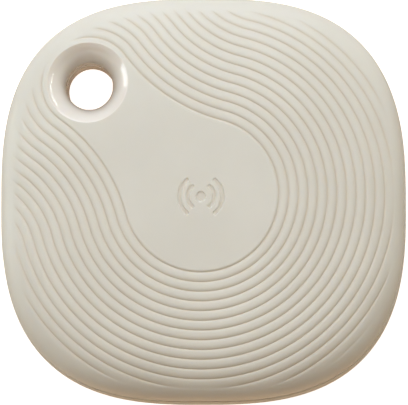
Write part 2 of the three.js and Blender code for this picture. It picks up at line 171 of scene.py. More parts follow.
# Crown: seam + rise * (1 - reach^m)^(1/m).
def crownHeight(x, y, halfWidth, rise):
    m = case["crownPower"]
    out = np.clip(reach(x, y, halfWidth), 0, 1)
    return case["seam"] + rise * np.clip(1 - out ** m, 0, 1) ** (1 / m)


# The diagonal's axes: u runs towards the eyelet, w square to it.
def toDiagonal(x, y):
    return (y - x) * math.sqrt(0.5), (x + y) * math.sqrt(0.5)


def fromDiagonal(u, w):
    return (w - u) * math.sqrt(0.5), (w + u) * math.sqrt(0.5)


# The waist arc touches the disc's circle and the corner's circle round the eyelet.
waistCentre = (grooves["firstRadius"] + grooves["waistRadius"]) * np.array(
    [math.cos(grooves["waistAngle"]), math.sin(grooves["waistAngle"])])
waistStart = grooves["waistAngle"] + math.pi
waistEnd = math.atan2(-waistCentre[1], eyelet["along"] - waistCentre[0]) + 2 * math.pi
waistSweep = waistEnd - waistStart
cornerHalf = waistEnd - math.pi


# Distance outside the keyhole line, measured to the disc's circle, the waist arc or the
# corner's circle, whichever arc's sector the point lies in.
def keyholeDistance(x, y):
    u, w = toDiagonal(x, y)
    w = np.abs(w)
    du, dw = u - waistCentre[0], w - waistCentre[1]
    turn = np.angle(np.exp(1j * (np.arctan2(dw, du) - waistStart)))
    disc = np.hypot(u, w) - grooves["firstRadius"]
    waist = grooves["waistRadius"] - np.hypot(du, dw)
    corner = np.hypot(u - eyelet["along"], w) - grooves["cornerRadius"]
    return np.where(turn < 0, disc, np.where(turn > waistSweep, corner, waist))


def smoothStep(t):
    t = np.clip(t, 0, 1)
    return t * t * (3 - 2 * t)


# Share of the outline where the grooves run out: the border less the lean times the cosine of
# the angle from the eyelet's direction.
def grooveBorder(x, y):
    u, w = toDiagonal(x, y)
    return grooves["border"] - grooves["borderLean"] * u / np.maximum(np.hypot(u, w), 1e-6)


# How far down its groove a point lies, from 0 on the crest to 1 at the foot: one less the
# absolute sine of the distance over the pitch, mixed with a power of itself that makes the
# foot narrow, and 0 inside the keyhole.
def grooveShare(x, y):
    d = keyholeDistance(x, y)
    soft = grooves["soften"]
    wave = np.abs(np.sin(np.pi * d / grooves["pitch"]))
    wave = (np.sqrt(wave ** 2 + soft ** 2) - soft) / (math.sqrt(1 + soft ** 2) - soft)
    openShare = 1 - wave
    sharp = grooves["sharpShare"]
    share = sharp * openShare ** grooves["sharpness"] + (1 - sharp) * openShare
    inner = (1 - smoothStep(-d / (0.26 * grooves["pitch"]))) ** 1.5
    share = np.where(d < 0, inner, share)
    out = reach(x, y, case["frontHalf"])
    return share * smoothStep((grooveBorder(x, y) - out) / grooves["fade"])


# How far inside the mark a point lies, from 0 to 1 across its soft edge.
def markShare(x, y):
    px, py = x - mark["centre"][0], y - mark["centre"][1]
    r = np.hypot(px, py)
    away = np.abs(np.arctan2(py, np.abs(px)))
    inside = mark["dot"] - r
    for radius in mark["arcs"]:
        ends = np.hypot(np.abs(px) - radius * math.cos(mark["halfAngle"]),
                        np.abs(py) - radius * math.sin(mark["halfAngle"]))
        toArc = np.where(away < mark["halfAngle"], np.abs(r - radius), ends)
        inside = np.maximum(inside, mark["stroke"] - toArc)
    return smoothStep(inside / mark["edge"] + 0.5)


def frontSkin(x, y):
    height = crownHeight(x, y, case["frontHalf"], case["crown"])
    height = height - grooves["depth"] * grooveShare(x, y) - mark["depth"] * markShare(x, y)
    return np.stack([x, y, height], -1)


# Quarter turn of an ellipse between two angles, as shares: 0 to 1 inwards, 0 to 1 upwards.
def flareShares(count):
    t = np.linspace(eyelet["lipTurn"], eyelet["throatTurn"], count + 1)
    inward = (np.cos(t) - np.cos(t[0])) / (np.cos(t[-1]) - np.cos(t[0]))
    upward = (np.sin(t) - np.sin(t[-1])) / (np.sin(t[0]) - np.sin(t[-1]))
    return inward, upward


# Distances along rays at which the outline's share reaches a level, by halving the bracket.
def rayLengths(x, y, outX, outY, halfWidth, level):
    near = np.zeros(np.broadcast_shapes(np.shape(outX), np.shape(level)))
    far = near + 3 * case["half"]
    for step in range(detail["halvings"]):
        middle = (near + far) / 2
        beyond = reach(x + middle * outX, y + middle * outY, halfWidth) > level
        far = np.where(beyond, middle, far)
        near = np.where(beyond, near, middle)
    return (near + far) / 2


# Distances from the eyelet's centre to an outline of a given half-width.
def fromEyelet(turns, halfWidth):
    cx, cy = eyelet["centre"]
    return rayLengths(cx, cy, np.cos(turns), np.sin(turns), halfWidth, 1.0)


def aboutEyelet(radius, turns, height):
    cx, cy = eyelet["centre"]
    x, y = cx + radius * np.cos(turns), cy + radius * np.sin(turns)
    return np.stack([x, y, np.broadcast_to(height, x.shape)], -1)


# Quads of a grid of rows by columns. Columns always close on themselves; rows may too.
def gridQuads(rows, columns, loop, start):
    down = np.arange(rows if loop else rows - 1)
    j, i = np.meshgrid(down, np.arange(columns), indexing="ij")
    nextI, nextJ = (i + 1) % columns, (j + 1) % rows
    quads = np.stack([j * columns + i, j * columns + nextI,
                      nextJ * columns + nextI, nextJ * columns + i], -1)
    return quads.reshape(-1, 4) + start


# One mesh from several grids, welded where they share an edge.
def meshFromGrids(name, grids, weld=1e-4):
    points, quads, start = [], [], 0
    for grid, loop in grids:
        rows, columns = grid.shape[:2]
        points.append(grid.reshape(-1, 3))
        quads.append(gridQuads(rows, columns, loop, start))
        start += rows * columns
    points, quads = np.concatenate(points) * mm, np.concatenate(quads)
    data = bpy.data.meshes.new(name)
    data.vertices.add(len(points))
    data.vertices.foreach_set("co", points.astype(np.float32).ravel())
    data.loops.add(quads.size)
    data.loops.foreach_set("vertex_index", quads.astype(np.int32).ravel())
    data.polygons.add(len(quads))
    data.polygons.foreach_set("loop_start", np.arange(0, quads.size, 4, dtype=np.int32))
    data.update(calc_edges=True)
    work = bmesh.new()
    work.from_mesh(data)
    bmesh.ops.remove_doubles(work, verts=work.verts, dist=weld * mm)
    bmesh.ops.recalc_face_normals(work, faces=work.faces)
    openEdges = sum(1 for e in work.edges if len(e.link_faces) != 2)
    work.to_mesh(data)
    work.free()
    data.polygons.foreach_set("use_smooth", np.ones(len(data.polygons), dtype=bool))
    data.set_sharp_from_angle(angle=math.radians(20))
    piece = bpy.data.objects.new(name, data)
    bpy.context.scene.collection.objects.link(piece)
    print(name, "faces", len(data.polygons), "open edges", openEdges)
    return piece


# A closed turned body: radius and height pairs about a vertical axis, from pole to pole.
def turnedGrid(profile, centre, columns):
    profile = np.array(profile, float)
    turn = np.linspace(0, 2 * np.pi, columns, endpoint=False)
    x = centre[0] + profile[:, :1] * np.cos(turn)
    y = centre[1] + profile[:, :1] * np.sin(turn)
    return np.stack([x, y, np.broadcast_to(profile[:, 1:], x.shape)], -1)


def arc(centre, radius, start, end, count):
    turn = np.linspace(start, end, count)
    return [(centre[0] + radius * math.cos(a), centre[1] + radius * math.sin(a)) for a in turn]


# The keyhole line's two waists and its corner, in order of their turn round the eyelet, with
# the outward direction at each point. In the diagonal's axes.
def keyholeSides():
    w = grooves["waistRadius"]
    sweep = waistStart + np.linspace(0, waistSweep, detail["waistColumns"] + 1)[:-1]
    low = np.stack([waistCentre[0] + w * np.cos(sweep), -waistCentre[1] - w * np.sin(sweep)], -1)
    lowOut = np.stack([-np.cos(sweep), np.sin(sweep)], -1)
    turns = np.linspace(-cornerHalf, cornerHalf, detail["cornerColumns"] + 1)
    cornerOut = np.stack([np.cos(turns), np.sin(turns)], -1)
    corner = grooves["cornerRadius"] * cornerOut + [eyelet["along"], 0]
    points = np.concatenate([low, corner, low[::-1] * [1, -1]])
    return points, np.concatenate([lowOut, cornerOut, lowOut[::-1] * [1, -1]])


# Outside the keyhole line, on rays square to it. Rows keep step with the grooves up to their
# border, then turn down the crown by equal angles: share of outline sin^(2/m), rise cos^(2/m).
def outsideGrid(start, out):
    m = case["crownPower"]
    x0, y0 = fromDiagonal(start[:, 0], start[:, 1])
    outX, outY = fromDiagonal(out[:, 0], out[:, 1])
    furthest = grooves["border"] + grooves["borderLean"]
    border = np.maximum(furthest, reach(x0, y0, case["frontHalf"]) + 1e-3)
    toBorder = rayLengths(x0, y0, outX, outY, case["frontHalf"], border)
    pitches = int(np.ceil(toBorder.max() / grooves["pitch"]))
    steps = (np.arange(pitches)[:, None] + np.array(grooves["rows"])).ravel() * grooves["pitch"]
    edgeRow = (steps[:, None] < toBorder - 0.02).sum(0)
    total = int(edgeRow.max()) + detail["rimRows"]
    row = np.arange(total + 1)[:, None]
    past = np.clip((row - edgeRow) / (total - edgeRow), 0, 1)
    first = np.arcsin(border ** (m / 2))
    angle = first + (np.pi / 2 - first) * past
    level = np.sin(angle) ** (2 / m)
    onGrooves = row < edgeRow
    stepped = steps[np.minimum(row, len(steps) - 1)]
    length = np.where(onGrooves, stepped, rayLengths(x0, y0, outX, outY, case["frontHalf"], level))
    skin = frontSkin(x0 + length * outX, y0 + length * outY)
    turned = case["seam"] + case["crown"] * np.clip(np.cos(angle), 0, 1) ** (2 / m)
    skin[..., 2] = np.where(onGrooves, skin[..., 2], turned)
    skin[-1, :, 2] = case["seam"] + case["edge"]
    return skin


def betweenGrid(inner, outer, shares):
    shares = np.asarray(shares)[:, None, None]
    return inner[None] * (1 - shares) + outer[None] * shares


def frontCover():
    e, columns = eyelet, detail["discColumns"]
    sides, sidesOut = keyholeSides()
    turn = np.linspace(grooves["waistAngle"], 2 * np.pi - grooves["waistAngle"], columns + 1)[1:]
    discOut = np.stack([np.cos(turn), np.sin(turn)], -1)[:-1]
    disc = grooves["firstRadius"] * discOut
    outside = outsideGrid(np.concatenate([sides, disc]), np.concatenate([sidesOut, discOut]))
    # the chord across the neck parts the disc from the land round the eyelet
    last, first = sides[-1], sides[0]
    chord = betweenGrid(last[None], first[None], np.linspace(0, 1, columns + 1)[1:-1])[:, 0]
    edge = np.concatenate([first[None], chord[::-1], last[None], disc])
    towards = edge / np.hypot(edge[:, 0], edge[:, 1])[:, None]
    rounds = np.concatenate([[3e-5], np.linspace(0, mark["room"], detail["markRows"])[1:]])
    inner = towards[None] * rounds[:, None, None]
    shares = np.concatenate([np.linspace(0, 0.93, 9)[1:], np.linspace(0.93, 1, 6)[1:]])
    discUv = np.concatenate([inner, betweenGrid(inner[-1], edge, shares)])
    discGrid = frontSkin(*fromDiagonal(discUv[..., 0], discUv[..., 1]))
    # the land round the eyelet, from its lip out to the keyhole line and the chord
    closing = np.concatenate([sides, chord])
    lipTurn = np.arctan2(closing[:, 1], closing[:, 0] - e["along"])
    lip = np.stack([e["along"] + e["frontLip"] * np.cos(lipTurn), e["frontLip"] * np.sin(lipTurn)], -1)
    land = betweenGrid(lip, closing, smoothStep(np.linspace(0, 1, detail["landRows"])))
    landGrid = frontSkin(*fromDiagonal(land[..., 0], land[..., 1]))
    # flare: the radius closes in from lip to bore while the height falls from lip to throat
    turns = 3 * np.pi / 4 - lipTurn    # the diagonal's axes turn the other way
    inward, upward = (share[:, None] for share in flareShares(detail["flareRows"]))
    flare = aboutEyelet(e["frontLip"] - (e["frontLip"] - e["bore"]) * inward, turns,
                        e["throat"] + (landGrid[0, :, 2] - e["throat"]) * upward)
    flare[0] = landGrid[0]
    # bore down to a broken edge, then the collar's foot and outside, out to the shell's inside
    edgeSize = case["edge"]
    boreRows = [(e["bore"], h) for h in np.linspace(e["throat"], case["seam"] + edgeSize, 5)]
    boreRows += [(e["bore"] + edgeSize, case["seam"]), (e["collar"], case["seam"])]
    # far end of every column, on the inside of the rim, and its turn round the eyelet
    rimTurn = np.arctan2(outside[-1, :, 1], outside[-1, :, 0])
    unit = 1 / reach(np.cos(rimTurn), np.sin(rimTurn), 1.0)
    inX, inY = case["inHalf"] * unit * np.cos(rimTurn), case["inHalf"] * unit * np.sin(rimTurn)
    seen = np.unwrap(np.arctan2(inY - e["centre"][1], inX - e["centre"][0]))
    start = np.unwrap(turns)
    seen = seen + 2 * np.pi * np.round((start[0] - seen[0]) / (2 * np.pi))
    root = np.minimum(e["frontLip"] + e["rootReach"],
                      fromEyelet(seen, case["inHalf"] * e["rootShare"]))
    rootX, rootY = e["centre"][0] + root * np.cos(seen), e["centre"][1] + root * np.sin(seen)
    rootZ = crownHeight(rootX, rootY, case["inHalf"], case["inRise"])
    share = np.linspace(0, 1, detail["collarRows"])[1:, None]
    blendTurn = start + (seen - start) * share
    collarRadius = e["collar"] + (root - e["collar"]) * share ** e["collarEase"]
    collar = aboutEyelet(collarRadius, blendTurn, case["seam"] + (rootZ - case["seam"]) * share)
    boreGrid = np.stack([aboutEyelet(r, start, h) for r, h in boreRows])
    tube = np.concatenate([flare, boreGrid[1:], collar])
    # the crown's inside, from the collar's root to the rim
    eased = 1 - (1 - np.linspace(0, 1, detail["insideRows"])[1:, None]) ** detail["insideEase"]
    insideX, insideY = rootX + (inX - rootX) * eased, rootY + (inY - rootY) * eased
    insideZ = crownHeight(insideX, insideY, case["inHalf"], case["inRise"])
    inside = np.stack([insideX, insideY, insideZ], -1)
    inside[-1, :, 2] = case["seam"]
    # the rim's underside and its broken edge
    edgeTurn = np.linspace(0, np.pi / 2, 4)[1:]
    rimHalf = case["frontHalf"] - edgeSize * (1 - np.cos(edgeTurn))
    rimHalf = np.concatenate([rimHalf, [case["inHalf"]]])[:, None]
    rimZ = case["seam"] + edgeSize * (1 - np.sin(edgeTurn))
    rimZ = np.concatenate([rimZ, [case["seam"]]])[:, None]
    rim = np.stack([rimHalf * unit * np.cos(rimTurn), rimHalf * unit * np.sin(rimTurn),
                    np.broadcast_to(rimZ, (4, len(unit)))], -1)
    skirt = np.concatenate([outside[-1:], rim])
    return [(outside, False), (discGrid, False), (landGrid, False), (tube, False),
            (np.concatenate([tube[-1:], inside]), False), (skirt, False)]


frontFittings = {
    "tongueDepth": 0.35,           # lip that closes the seam from inside
    "tongueRise": 0.7,
    "tongueOuter": case["half"] - case["rearWall"] - 0.1,
    "tongueWidth": 0.7,
    "guides": ((-17.7, 2.75), (170.4, 3.05), (-102.7, 2.73)),    # degrees, in from the board's edge
    "guideRadius": 0.8,
    "barbRadius": 1.2,
    "barbHeight": 0.4,
    "barbRoom": 0.65,              # from the board's underside to the barb
    "guideRoot": 1.1,
    "bossRadius": 2.6,
}
boardLow, boardHigh = boxMm("main_board")
padHigh = boxMm("press_pad")[1]


def insideBoard(degrees, inset):
    angle = math.radians(degrees)
    r = float(1 / reach(math.cos(angle), math.sin(angle), boardHigh[0])) - inset
    return r * math.cos(angle), r * math.sin(angle)


# Rings of the outline. Where they would pass through the eyelet's sleeve they are moved
# straight out from the eyelet's centre until they are clear of it.
def outlineLoop(profile, columns):
    turns = np.linspace(0, 2 * np.pi, columns, endpoint=False)
    rows = np.array(profile)
    unit = 1 / reach(np.cos(turns), np.sin(turns), 1.0)
    x = rows[:, :1] * unit * np.cos(turns) - eyelet["centre"][0]
    y = rows[:, :1] * unit * np.sin(turns) - eyelet["centre"][1]
    away = np.maximum(1, eyelet["sleeveRoom"] / np.hypot(x, y))
    x, y = eyelet["centre"][0] + x * away, eyelet["centre"][1] + y * away
    return np.stack([x, y, np.broadcast_to(rows[:, 1:], x.shape)], -1)


# The lip inside the rim, the boss over the press pad and the three barbed posts.
def frontFittingsGrids():
    f = frontFittings
    top = case["seam"] + f["tongueRise"]
    low = case["seam"] - f["tongueDepth"]
    root = case["frontHalf"] - case["frontWall"] / 2
    inner = f["tongueOuter"] - f["tongueWidth"]
    lip = outlineLoop([(f["tongueOuter"], low), (f["tongueOuter"], case["seam"]), (root, case["seam"]),
                       (root, top), (inner, top), (inner, low)], 240)
    boss = turnedGrid([(1e-5, padHigh[2]), (f["bossRadius"] - 0.1, padHigh[2]),
                       (f["bossRadius"], padHigh[2] + 0.1), (f["bossRadius"] + 0.2, case["top"] - 0.5),
                       (1e-5, case["top"] - 0.5)], (0, 0), 48)
    grids = [(lip, True), (boss, False)]
    barbTop = boardLow[2] - f["barbRoom"]
    barbLow, post, barb = barbTop - f["barbHeight"], f["guideRadius"], f["barbRadius"]
    for place in f["guides"]:
        x, y = insideBoard(*place)
        head = float(crownHeight(x, y, case["frontHalf"], case["crown"])) - 0.6
        grids.append((turnedGrid([(1e-5, barbLow), (post, barbLow), (barb, barbTop - 0.05),
                                  (barb, barbTop), (post, barbTop), (post, head - 0.9),
                                  (f["guideRoot"], head), (1e-5, head)], (x, y), 28), False))
    return grids


front = meshFromGrids("front_shell", frontCover() + frontFittingsGrids())
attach(front, "front")
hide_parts("front_cover")
print("front cover made")


# The rear cover is one loop of rings round the eyelet: back, round edge, wall, rim, seal
# shelf, floor, collar, bore and flare. Every ring lies on rays from the eyelet's centre.
def rearCover():
    e, c = eyelet, case
    turns = np.linspace(0, 2 * np.pi, detail["rearColumns"], endpoint=False)
    inside = c["half"] - c["rearWall"]
    rows = arc((c["half"] - c["backRound"], c["backRound"]), c["backRound"], -math.pi / 2, 0, 12)
    rise = np.linspace(0, 1, 7)[1:]
    rimSide = c["rim"] - c["edge"]
    rows += [(c["half"] - c["wallDraft"] * s * s, c["backRound"] + (rimSide - c["backRound"]) * s)
             for s in rise]
    top = c["half"] - c["wallDraft"] - c["edge"]
    rows += arc((top, rimSide), c["edge"], 0, math.pi / 2, 4)[1:]
    shelf, corner = inside - c["sealWidth"], c["floorRound"]
    rows += [(inside, c["rim"]), (inside, c["ledge"]), (shelf, c["ledge"]),
             (shelf, c["rearFloor"] + corner), (shelf - corner, c["rearFloor"])]
    outer = np.stack([aboutEyelet(fromEyelet(turns, h), turns, z) for h, z in rows])
    room = fromEyelet(turns, shelf - corner) - c["floorSpare"]
    footOut, footUp = e["shoulderFoot"]
    foot = [(e["rearLip"] + e["collarWall"], c["rearFloor"]),
            (e["shoulder"] + footOut, c["rearFloor"] + footUp),
            (e["shoulder"], e["rearFlare"]), (e["shoulder"], c["ledge"]), (e["collar"], c["ledge"]),
            (e["collar"], c["rim"] - c["edge"]), (e["collar"] - c["edge"], c["rim"]),
            (e["bore"] + c["edge"], c["rim"]), (e["bore"], c["rim"] - c["edge"])]
    inner = np.stack([aboutEyelet(np.minimum(r, room), turns, z) for r, z in foot])
    inward, upward = (share[::-1, None] for share in flareShares(detail["flareRows"]))
    flare = aboutEyelet(e["rearLip"] - (e["rearLip"] - e["bore"]) * inward, turns,
                        e["rearFlare"] * (1 - upward))
    back = betweenGrid(flare[-1], outer[0], np.linspace(0, 1, 8)[1:-1])
    return np.concatenate([outer, inner, flare, back])


rearFittings = {
    "postTurns": (60, 135, 210),   # degrees round the middle of the cell
    "postReach": 8,
    "postFoot": (1.1, 0.3),        # radius and height
    "postRadius": 0.9,
    "postEdge": 0.1,
    "seatGap": 0.05,               # between the sounder's plate and the ring round it
    "seatWall": 0.6,
    "seatRise": 0.5,
    "seatEdge": 0.1,
    "sunk": 0.05,                  # how far both start below the floor
}


# Three posts under the cell and the ring that seats the sounder.
def rearFittingsGrids():
    f, floor = rearFittings, case["rearFloor"]
    cellLow, cellHigh = boxMm("battery_can")
    cell = (cellLow + cellHigh)[:2] / 2
    plateLow, plateHigh = boxMm("sounder_plate")
    sounder = (plateLow + plateHigh)[:2] / 2
    inner = (plateHigh - plateLow)[0] / 2 + f["seatGap"]
    outer, top, edge = inner + f["seatWall"], floor + f["seatRise"], f["seatEdge"]
    seat = [(inner, floor - f["sunk"]), (outer, floor - f["sunk"]), (outer, top - edge),
            (outer - edge, top), (inner + edge, top), (inner, top - edge)]
    grids = [(turnedGrid(seat, sounder, 96), True)]
    footRadius, footRise = f["postFoot"]
    radius, edge = f["postRadius"], f["postEdge"]
    for degrees in f["postTurns"]:
        angle = math.radians(degrees)
        place = cell + f["postReach"] * np.array([math.cos(angle), math.sin(angle)])
        post = [(1e-5, floor - f["sunk"]), (footRadius, floor - f["sunk"]),
                (radius, floor + footRise), (radius, cellLow[2] - edge),
                (radius - edge, cellLow[2]), (1e-5, cellLow[2])]
        grids.append((turnedGrid(post, place, 28), False))
    return grids


rear = meshFromGrids("rear_shell", [(rearCover(), True)] + rearFittingsGrids())
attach(rear, "rear_half")
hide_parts("rear_cover")
print("rear cover made")


# Masks kept on the shells: how deep in a groove or in the mark a point lies, which sets the
# painted shade there, and where the eyelet is polished, which also sets its painted lighter colour.
def setMask(piece, name, values):
    attribute = piece.data.attributes.new(name, "FLOAT", "POINT")
    attribute.data.foreach_set("value", np.asarray(values, np.float32))


def verticesMm(piece):
    co = np.zeros(len(piece.data.vertices) * 3, np.float32)
    piece.data.vertices.foreach_get("co", co)
    return co.reshape(-1, 3).astype(float) / mm


for piece in (front, rear):
    x, y, z = verticesMm(piece).T
    fromAxis = np.hypot(x - eyelet["centre"][0], y - eyelet["centre"][1])
    lip = eyelet["frontLip"] if piece is front else eyelet["rearLip"]
    # one mask sets the eyelet's polish (coat, roughness, smooth bump) and its painted lighter colour
    polishAndLightMask = smoothStep((lip + 0.12 - fromAxis) / 0.24)
    onFace = (z > crownHeight(x, y, case["frontHalf"], case["crown"]) - 0.3) & (piece is front)
    setMask(piece, "polish_and_painted_light", polishAndLightMask)
    # painted shade: the groove and mark depths become a mask for a darker, warmer tone in the grooves and the
    # mark, where shade falls
    setMask(piece, "painted_shade", np.where(onFace, np.maximum(grooveShare(x, y), 0.6 * markShare(x, y)), 0))


def newGroup(name, inputs, outputs):
    group = bpy.data.node_groups.new(name, "ShaderNodeTree")
    for label, kind, value in inputs:
        socket = group.interface.new_socket(label, in_out="INPUT", socket_type=kind)
        if value is not None:
            socket.default_value = value
    for label, kind in outputs:
        group.interface.new_socket(label, in_out="OUTPUT", socket_type=kind)
    return group, group.nodes.new("NodeGroupInput"), group.nodes.new("NodeGroupOutput")


# Fine grain with slow patches: two tones mixed by broad noise, fine noise for roughness and height.
def buildGrain():
    group, into, out = newGroup("fineGrain", [
        ("Vector", "NodeSocketVector", None), ("Grain Scale", "NodeSocketFloat", 6000.0),
        ("Patch Scale", "NodeSocketFloat", 150.0), ("Tone A", "NodeSocketColor", None),
        ("Tone B", "NodeSocketColor", None), ("Rough Low", "NodeSocketFloat", 0.4),
        ("Rough High", "NodeSocketFloat", 0.6)],
        [("Color", "NodeSocketColor"), ("Roughness", "NodeSocketFloat"), ("Height", "NodeSocketFloat")])
    nodes, links = group.nodes, group.links
    fine, patch = nodes.new("ShaderNodeTexNoise"), nodes.new("ShaderNodeTexNoise")
    fine.inputs["Detail"].default_value = 2.0
    patch.inputs["Detail"].default_value = 3.0
    spread, mix = nodes.new("ShaderNodeMapRange"), nodes.new("ShaderNodeMix")
    mix.data_type = "RGBA"
    rough = nodes.new("ShaderNodeMapRange")
    for texture, scale in ((fine, "Grain Scale"), (patch, "Patch Scale")):
        links.new(into.outputs["Vector"], texture.inputs["Vector"])
        links.new(into.outputs[scale], texture.inputs["Scale"])
    spread.inputs["From Min"].default_value = 0.35
    spread.inputs["From Max"].default_value = 0.65
    links.new(patch.outputs["Fac"], spread.inputs["Value"])
    links.new(spread.outputs["Result"], mix.inputs["Factor"])
    links.new(into.outputs["Tone A"], mix.inputs["A"])
    links.new(into.outputs["Tone B"], mix.inputs["B"])
    links.new(fine.outputs["Fac"], rough.inputs["Value"])
    links.new(into.outputs["Rough Low"], rough.inputs["To Min"])
    links.new(into.outputs["Rough High"], rough.inputs["To Max"])
    links.new(mix.outputs["Result"], out.inputs["Color"])
    links.new(rough.outputs["Result"], out.inputs["Roughness"])
    links.new(fine.outputs["Fac"], out.inputs["Height"])
    return group


grainGroup = buildGrain()


# A material on the grain group. look holds toneA, toneB, rough, grain, patch, bump, metallic.
def grainMaterial(name, look):
    material = bpy.data.materials.new(name)
    material.use_nodes = True
    nodes, links = material.node_tree.nodes, material.node_tree.links
    shader = nodes["Principled BSDF"]
    where, grain, bump = (nodes.new(kind) for kind in (
        "ShaderNodeTexCoord", "ShaderNodeGroup", "ShaderNodeBump"))
    grain.node_tree = grainGroup
    grain.inputs["Tone A"].default_value = (*look["toneA"], 1)
    grain.inputs["Tone B"].default_value = (*look["toneB"], 1)
    grain.inputs["Rough Low"].default_value, grain.inputs["Rough High"].default_value = look["rough"]
    grain.inputs["Grain Scale"].default_value = look["grain"]
    grain.inputs["Patch Scale"].default_value = look["patch"]
    bump.inputs["Strength"].default_value = look["bump"]
    bump.inputs["Distance"].default_value = look.get("bumpDepth", 0.00002)
    shader.inputs["Metallic"].default_value = look.get("metallic", 0.0)
    links.new(where.outputs["Object"], grain.inputs["Vector"])
    links.new(grain.outputs["Color"], shader.inputs["Base Color"])
    links.new(grain.outputs["Roughness"], shader.inputs["Roughness"])
    links.new(grain.outputs["Height"], bump.inputs["Height"])
    links.new(bump.outputs["Normal"], shader.inputs["Normal"])
    return material


shellLook = {
    "toneA": (0.672, 0.662, 0.592), "toneB": (0.700, 0.692, 0.622), "rough": (0.46, 0.6),
    "grain": 7000.0, "patch": 120.0, "bump": 0.22,
    # the groove tone and its share are painted shade in the grooves and the mark
    "paintedShadeTone": (0.56, 0.42, 0.25), "paintedShadeShare": 0.3, "polishRough": 0.22,
    # the eyelet tone is painted light: lighter than the shell, standing in for the light bounced inside the eyelet
    "coatRough": 0.05, "eyeletPaintedLightTone": (0.80, 0.765, 0.70),
    "depthWeight": 0.3, "depthTones": (1.0, 0.75, 0.5), "depth": 0.0007,    # faint glow of thin walls
}


# The moulded shell: grain, painted shade as a darker, warmer tone at the foot of the grooves and in the mark, and
# a polished eyelet whose base colour is painted lighter in place of the light bounced inside it.
def shellMaterial(look):
    material = grainMaterial("cream_shell", look)
    nodes, links = material.node_tree.nodes, material.node_tree.links
    shader = nodes["Principled BSDF"]
    grain = [n for n in nodes if n.type == "GROUP"][0]
    bump = [n for n in nodes if n.type == "BUMP"][0]
    painted_shade, polish_and_painted_light = nodes.new("ShaderNodeAttribute"), nodes.new("ShaderNodeAttribute")
    painted_shade.attribute_name, polish_and_painted_light.attribute_name = "painted_shade", "polish_and_painted_light"
    share, paintedShadeMix, eyeletPaintedLight, rough, flat = (nodes.new(kind) for kind in (
        "ShaderNodeMath", "ShaderNodeMix", "ShaderNodeMix", "ShaderNodeMix", "ShaderNodeMix"))
    share.operation = "MULTIPLY"
    share.inputs[1].default_value = look["paintedShadeShare"]
    # painted shade: the groove mask mixes a darker, warmer tone into the grain colour
    paintedShadeMix.data_type = "RGBA"
    paintedShadeMix.inputs["B"].default_value = (*look["paintedShadeTone"], 1)
    rough.inputs["B"].default_value = look["polishRough"]
    flat.inputs["B"].default_value = 0.5
    links.new(painted_shade.outputs["Fac"], share.inputs[0])
    links.new(share.outputs[0], paintedShadeMix.inputs["Factor"])
    links.new(grain.outputs["Color"], paintedShadeMix.inputs["A"])
    # painted light: where the eyelet is polished its base colour is lifted to a lighter tone, in place of the
    # light bounced inside it
    eyeletPaintedLight.data_type = "RGBA"
    eyeletPaintedLight.inputs["B"].default_value = (*look["eyeletPaintedLightTone"], 1)
    links.new(polish_and_painted_light.outputs["Fac"], eyeletPaintedLight.inputs["Factor"])
    links.new(paintedShadeMix.outputs["Result"], eyeletPaintedLight.inputs["A"])
    links.new(eyeletPaintedLight.outputs["Result"], shader.inputs["Base Color"])
    shader.inputs["Subsurface Weight"].default_value = look["depthWeight"]
    shader.inputs["Subsurface Radius"].default_value = look["depthTones"]
    shader.inputs["Subsurface Scale"].default_value = look["depth"]
    shader.inputs["Coat Roughness"].default_value = look["coatRough"]
    links.new(polish_and_painted_light.outputs["Fac"], shader.inputs["Coat Weight"])
    links.new(polish_and_painted_light.outputs["Fac"], rough.inputs["Factor"])
    links.new(grain.outputs["Roughness"], rough.inputs["A"])
    links.new(rough.outputs["Result"], shader.inputs["Roughness"])
    links.new(polish_and_painted_light.outputs["Fac"], flat.inputs["Factor"])
    links.new(grain.outputs["Height"], flat.inputs["A"])
    links.new(flat.outputs["Result"], bump.inputs["Height"])
    return material


shell = shellMaterial(shellLook)
for piece in (front, rear):
    piece.data.materials.clear()
    piece.data.materials.append(shell)

